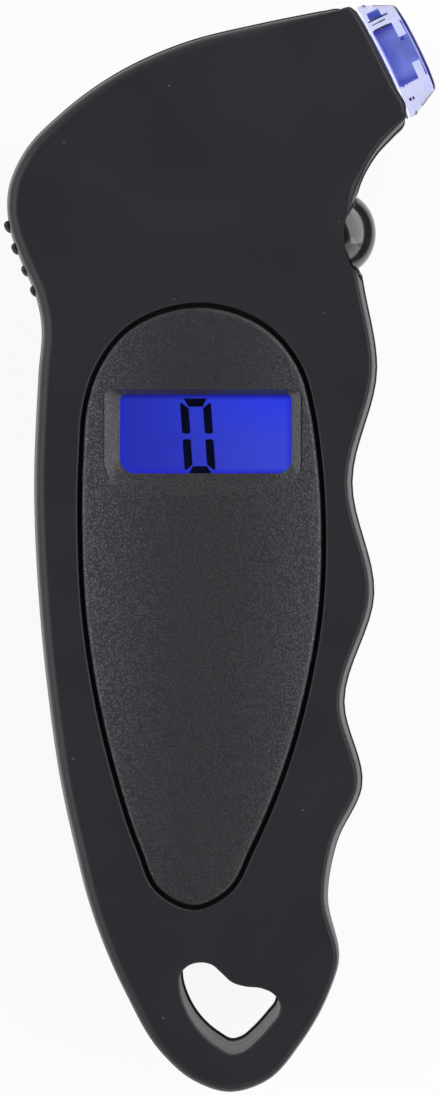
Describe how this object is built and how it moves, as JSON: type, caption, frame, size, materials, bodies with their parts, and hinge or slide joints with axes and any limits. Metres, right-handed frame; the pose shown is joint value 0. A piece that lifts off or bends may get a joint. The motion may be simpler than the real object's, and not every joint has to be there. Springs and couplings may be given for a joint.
{
  "type": "digital tire pressure gauge",
  "caption": "Hand-held digital tire pressure gauge with finger-grip casing, angled clear nozzle, blue display, side button and hang hole.",
  "frame": {"origin": "centre of the bounding box in plan, on the surface that the back of the casing lies on", "axes": "+Z out of the display face, +Y along the casing from tail to head, +X toward the finger grip, the button and the nozzle"},
  "size_m": [0.0595, 0.1496, 0.027],
  "materials": {
    "soft_black": "matt soft-touch moulding",
    "grained_black": "fine moulded grain",
    "clear_lens": "clear polished",
    "display_glass": "blue backlit",
    "white_plastic": "satin",
    "light_guide": "frosted",
    "led_package": "gloss",
    "contact_rubber": "matt",
    "board_green": "solder resist",
    "black_resin": "gloss",
    "steel": "satin",
    "chip_ceramic": "matt",
    "sensor_plastic": "satin",
    "gloss_black": "polished",
    "clear_blue": "clear moulded, lit blue from inside",
    "seal_rubber": "matt",
    "brass": "turned",
    "tube_silicone": "milky",
    "led_lens": "clear",
    "wire_red": "satin",
    "spring_metal": "plated",
    "screw_steel": "zinc"
  },
  "bodies": {
    "casing": {"front_shell": "soft_black", "rear_shell": "soft_black", "face_panel": "grained_black", "display_lens": "clear_lens", "lcd_panel": "display_glass", "lcd_frame": "white_plastic", "backlight_guide": "light_guide", "backlight_leds": "led_package", "zebra_strips": "contact_rubber", "circuit_board": "board_green", "chip_blob": "black_resin", "timing_crystal": "steel", "board_parts": "chip_ceramic", "pressure_sensor": "sensor_plastic", "button_switch": "sensor_plastic", "nozzle": "clear_blue", "valve_seal": "seal_rubber", "valve_pin": "brass", "air_fitting": "brass", "air_tube": "tube_silicone", "nozzle_led": "led_lens", "led_wires": "wire_red", "coin_cell": "steel", "positive_contact": "spring_metal", "negative_contact": "spring_metal", "case_screws": "screw_steel", "board_screws": "screw_steel"},
    "button": {"push_button": "gloss_black"},
    "plunger": {"switch_plunger": "white_plastic"},
    "door": {"battery_door": "soft_black"}
  },
  "joints": [
    {"name": "button_press", "type": "slide", "parent": "casing", "child": "button", "axis": [-1, 0, 0], "range_m": [0, 0.0005], "stiffness_N_per_m": 3000},
    {"name": "switch_press", "type": "slide", "parent": "casing", "child": "plunger", "axis": [-1, 0, 0], "range_m": [0, 0.0005]},
    {"name": "door_slide", "type": "slide", "parent": "casing", "child": "door", "axis": [0, -1, 0], "range_m": [0, 0.04]}
  ],
  "couplings": [
    {"joint": "switch_press", "follows": "button_press", "ratio": 1}
  ]
}
